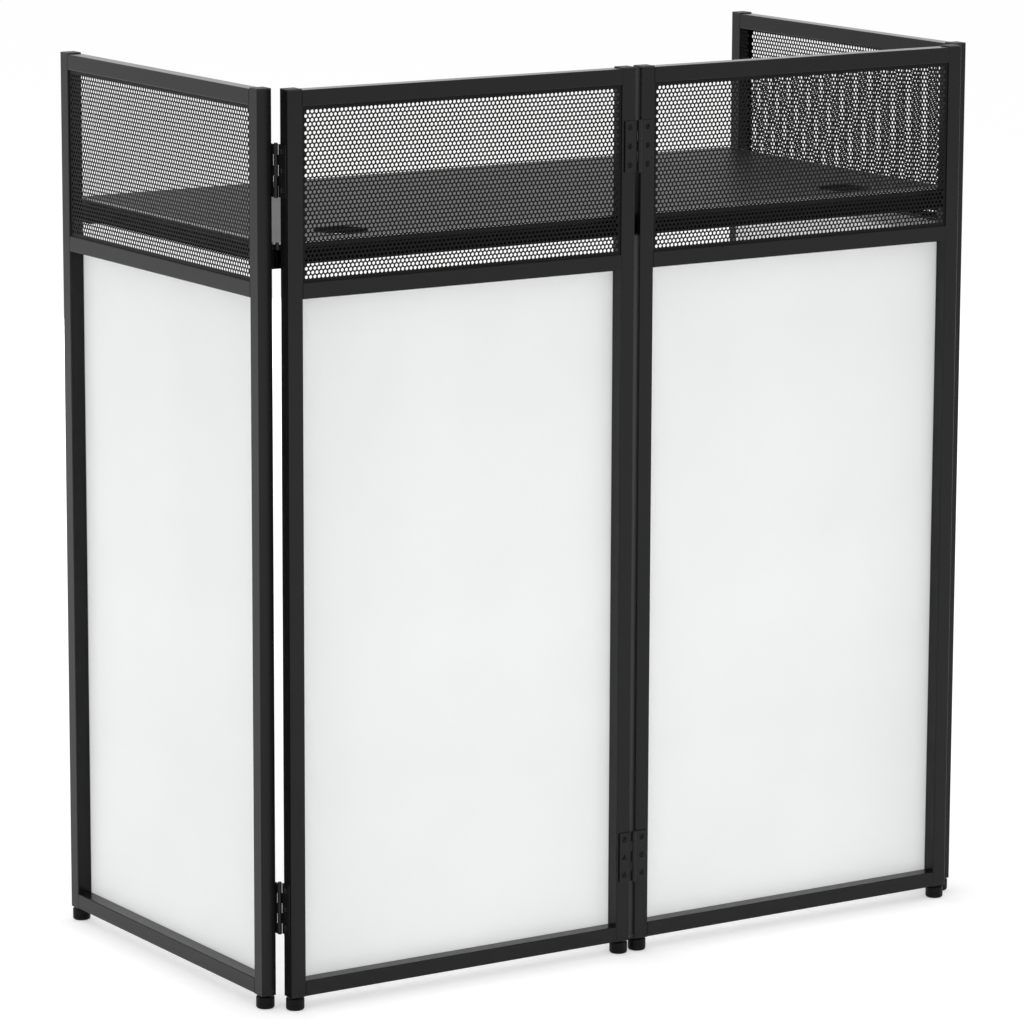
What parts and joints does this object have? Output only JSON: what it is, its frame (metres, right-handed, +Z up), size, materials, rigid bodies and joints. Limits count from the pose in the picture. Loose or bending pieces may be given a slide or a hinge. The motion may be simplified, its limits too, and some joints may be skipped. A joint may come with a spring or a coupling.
{
  "type": "folding dj booth",
  "caption": "Folding booth of hinged black tube-frame panels with perforated tops, white scrims, levelling feet and a lift-off table with cable holes.",
  "frame": {"origin": "on the floor under the middle of the booth's bounding box", "axes": "+X to the right along the front, +Y from the front panels towards the performer, +Z up"},
  "size_m": [1.0662, 0.5332, 1.1386],
  "materials": {
    "frame_paint": "satin black powder coat on square steel tube",
    "sheet_paint": "black powder coat on perforated steel sheet",
    "hinge_paint": "black coated steel",
    "scrim_fabric": "white stretch fabric, pulled flat",
    "plug_plastic": "moulded black plastic",
    "foot_rubber": "black rubber moulded on a steel stud",
    "board_laminate": "satin black laminate on a wood board"
  },
  "bodies": {
    "left_wing": {"left_hinge_wing_leaves": "hinge_paint", "left_wing_back_post": "frame_paint", "left_wing_bottom_rail": "frame_paint", "left_wing_front_post": "frame_paint", "left_wing_hinge_screws": "hinge_paint", "left_wing_middle_rail": "frame_paint", "left_wing_perforated_sheet": "sheet_paint", "left_wing_post_plugs": "plug_plastic", "left_wing_scrim": "scrim_fabric", "left_wing_table_brackets": "frame_paint", "left_wing_top_rail": "frame_paint"},
    "front_left": {"centre_hinge_left_leaves": "hinge_paint", "front_left_bottom_rail": "frame_paint", "front_left_centre_post": "frame_paint", "front_left_corner_post": "frame_paint", "front_left_hinge_pins": "hinge_paint", "front_left_hinge_screws": "hinge_paint", "front_left_middle_rail": "frame_paint", "front_left_perforated_sheet": "sheet_paint", "front_left_post_plugs": "plug_plastic", "front_left_scrim": "scrim_fabric", "front_left_top_rail": "frame_paint", "left_hinge_front_leaves": "hinge_paint"},
    "front_right": {"centre_hinge_right_leaves": "hinge_paint", "front_right_bottom_rail": "frame_paint", "front_right_centre_post": "frame_paint", "front_right_corner_post": "frame_paint", "front_right_hinge_pins": "hinge_paint", "front_right_hinge_screws": "hinge_paint", "front_right_middle_rail": "frame_paint", "front_right_perforated_sheet": "sheet_paint", "front_right_post_plugs": "plug_plastic", "front_right_scrim": "scrim_fabric", "front_right_top_rail": "frame_paint", "right_hinge_front_leaves": "hinge_paint"},
    "right_wing": {"right_hinge_wing_leaves": "hinge_paint", "right_wing_back_post": "frame_paint", "right_wing_bottom_rail": "frame_paint", "right_wing_front_post": "frame_paint", "right_wing_hinge_screws": "hinge_paint", "right_wing_middle_rail": "frame_paint", "right_wing_perforated_sheet": "sheet_paint", "right_wing_post_plugs": "plug_plastic", "right_wing_scrim": "scrim_fabric", "right_wing_table_brackets": "frame_paint", "right_wing_top_rail": "frame_paint"},
    "table": {"table_back_tube": "frame_paint", "table_board": "board_laminate", "table_front_tube": "frame_paint", "table_left_tube": "frame_paint", "table_right_tube": "frame_paint"},
    "front_left_centre_foot": {"front_left_centre_foot": "foot_rubber"},
    "front_left_corner_foot": {"front_left_corner_foot": "foot_rubber"},
    "front_right_centre_foot": {"front_right_centre_foot": "foot_rubber"},
    "front_right_corner_foot": {"front_right_corner_foot": "foot_rubber"},
    "left_wing_back_foot": {"left_wing_back_foot": "foot_rubber"},
    "left_wing_front_foot": {"left_wing_front_foot": "foot_rubber"},
    "right_wing_back_foot": {"right_wing_back_foot": "foot_rubber"},
    "right_wing_front_foot": {"right_wing_front_foot": "foot_rubber"}
  },
  "joints": [
    {"name": "centre_fold", "type": "hinge", "parent": "front_left", "child": "front_right", "pos_m": [0, -0.26385, 0.57], "axis": [0, 0, -1], "range_deg": [0, 180]},
    {"name": "left_wing_swing", "type": "hinge", "parent": "front_left", "child": "left_wing", "pos_m": [-0.50795, -0.23785, 0.57], "axis": [0, 0, 1], "range_deg": [0, 90]},
    {"name": "right_wing_swing", "type": "hinge", "parent": "front_right", "child": "right_wing", "pos_m": [0.50795, -0.23785, 0.57], "axis": [0, 0, -1], "range_deg": [0, 90]},
    {"name": "table_lift", "type": "slide", "parent": "front_left", "child": "table", "axis": [0, 0, 1], "range_m": [0, 0.25]},
    {"name": "front_left_centre_foot_screw", "type": "slide", "parent": "front_left", "child": "front_left_centre_foot", "axis": [0, 0, -1], "range_m": [0, 0.012]},
    {"name": "front_left_corner_foot_screw", "type": "slide", "parent": "front_left", "child": "front_left_corner_foot", "axis": [0, 0, -1], "range_m": [0, 0.012]},
    {"name": "front_right_centre_foot_screw", "type": "slide", "parent": "front_right", "child": "front_right_centre_foot", "axis": [0, 0, -1], "range_m": [0, 0.012]},
    {"name": "front_right_corner_foot_screw", "type": "slide", "parent": "front_right", "child": "front_right_corner_foot", "axis": [0, 0, -1], "range_m": [0, 0.012]},
    {"name": "left_wing_back_foot_screw", "type": "slide", "parent": "left_wing", "child": "left_wing_back_foot", "axis": [0, 0, -1], "range_m": [0, 0.012]},
    {"name": "left_wing_front_foot_screw", "type": "slide", "parent": "left_wing", "child": "left_wing_front_foot", "axis": [0, 0, -1], "range_m": [0, 0.012]},
    {"name": "right_wing_back_foot_screw", "type": "slide", "parent": "right_wing", "child": "right_wing_back_foot", "axis": [0, 0, -1], "range_m": [0, 0.012]},
    {"name": "right_wing_front_foot_screw", "type": "slide", "parent": "right_wing", "child": "right_wing_front_foot", "axis": [0, 0, -1], "range_m": [0, 0.012]}
  ]
}
